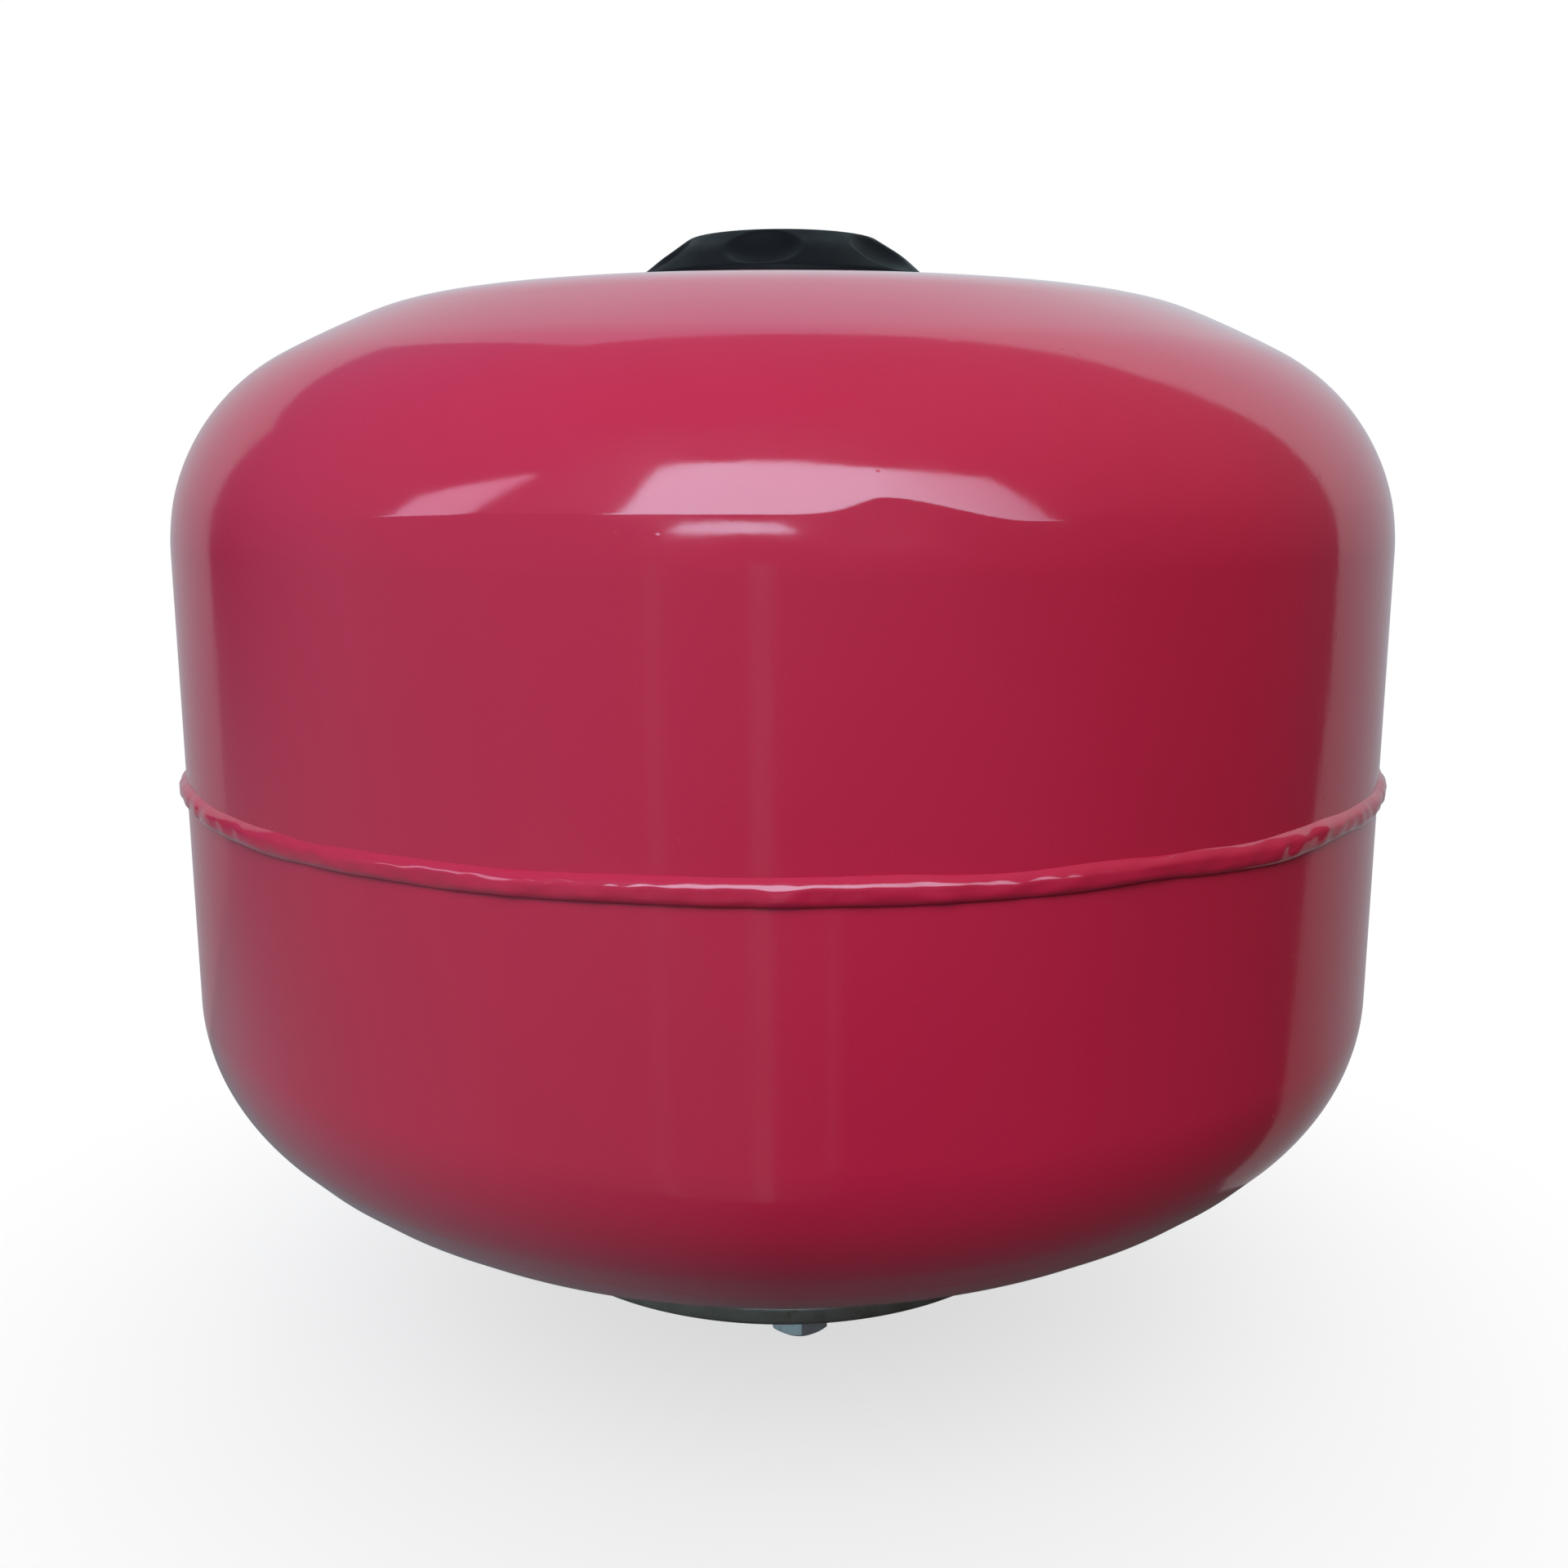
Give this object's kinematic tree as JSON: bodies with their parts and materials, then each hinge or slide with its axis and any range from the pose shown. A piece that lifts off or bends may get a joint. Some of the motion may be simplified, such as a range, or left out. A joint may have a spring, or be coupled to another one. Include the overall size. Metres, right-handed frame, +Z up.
{
  "type": "expansion vessel",
  "caption": "Squat red steel expansion vessel with a welded seam, a dimpled black screw cap over its gas valve, a bolted flange with a pipe nipple below, and a rubber bladder inside.",
  "frame": {"origin": "centre of the pipe nipple's lower end face, where the vessel is screwed onto its pipe", "axes": "+Z is up along the vessel's axis, from the pipe nipple to the screw cap; the pictured side faces -Y"},
  "size_m": [0.2968, 0.2968, 0.2764],
  "materials": {
    "red_paint": "gloss",
    "black_plastic": "satin",
    "dull_zinc": "matte",
    "bright_zinc": "satin",
    "brass": "satin",
    "rubber": "matte"
  },
  "bodies": {
    "vessel": {"upper_shell": "red_paint", "lower_shell": "red_paint", "seam_weld": "red_paint", "neck_ring": "red_paint", "neck_weld": "red_paint", "bladder": "rubber", "counter_flange": "dull_zinc", "pipe_nipple": "dull_zinc", "nipple_weld": "dull_zinc", "flange_bolt_1": "bright_zinc", "flange_bolt_2": "bright_zinc", "flange_bolt_3": "bright_zinc", "flange_bolt_4": "bright_zinc", "flange_bolt_5": "bright_zinc", "flange_bolt_6": "bright_zinc", "flange_washer_1": "bright_zinc", "flange_washer_2": "bright_zinc", "flange_washer_3": "bright_zinc", "flange_washer_4": "bright_zinc", "flange_washer_5": "bright_zinc", "flange_washer_6": "bright_zinc", "valve_boss": "bright_zinc", "valve_gasket": "rubber", "valve_stem": "brass", "valve_core": "brass", "valve_spring": "bright_zinc"},
    "cap_seal_ring": {"cap_seal": "rubber"},
    "cap": {"screw_cap": "black_plastic"},
    "dust_cap_disc": {"dust_cap_seal": "rubber"},
    "valve_dust_cap": {"dust_cap": "black_plastic"},
    "pin": {"valve_pin": "brass"}
  },
  "joints": [
    {"name": "cap_lift", "type": "slide", "parent": "vessel", "child": "cap_seal_ring", "axis": [0, 0, 1], "range_m": [0, 0.0046]},
    {"name": "cap_turn", "type": "hinge", "parent": "cap_seal_ring", "child": "cap", "pos_m": [0, 0, 0.26026], "axis": [0, 0, 1], "range_deg": [0, 1080]},
    {"name": "dust_cap_lift", "type": "slide", "parent": "vessel", "child": "dust_cap_disc", "axis": [0, 0, 1], "range_m": [0, 0.0016]},
    {"name": "dust_cap_turn", "type": "hinge", "parent": "dust_cap_disc", "child": "valve_dust_cap", "pos_m": [0, 0, 0.26566], "axis": [0, 0, 1], "range_deg": [-15, 740]},
    {"name": "valve_pin_press", "type": "slide", "parent": "vessel", "child": "pin", "axis": [0, 0, -1], "range_m": [0, 0.0012], "stiffness_N_per_m": 400, "springref_m": -0.002, "deforming": ["valve_spring"]}
  ],
  "couplings": [
    {"joint": "cap_lift", "follows": "cap_turn", "m_per_rad": 0.00023873},
    {"joint": "dust_cap_turn", "follows": "dust_cap_lift", "rad_per_m": 7854}
  ]
}
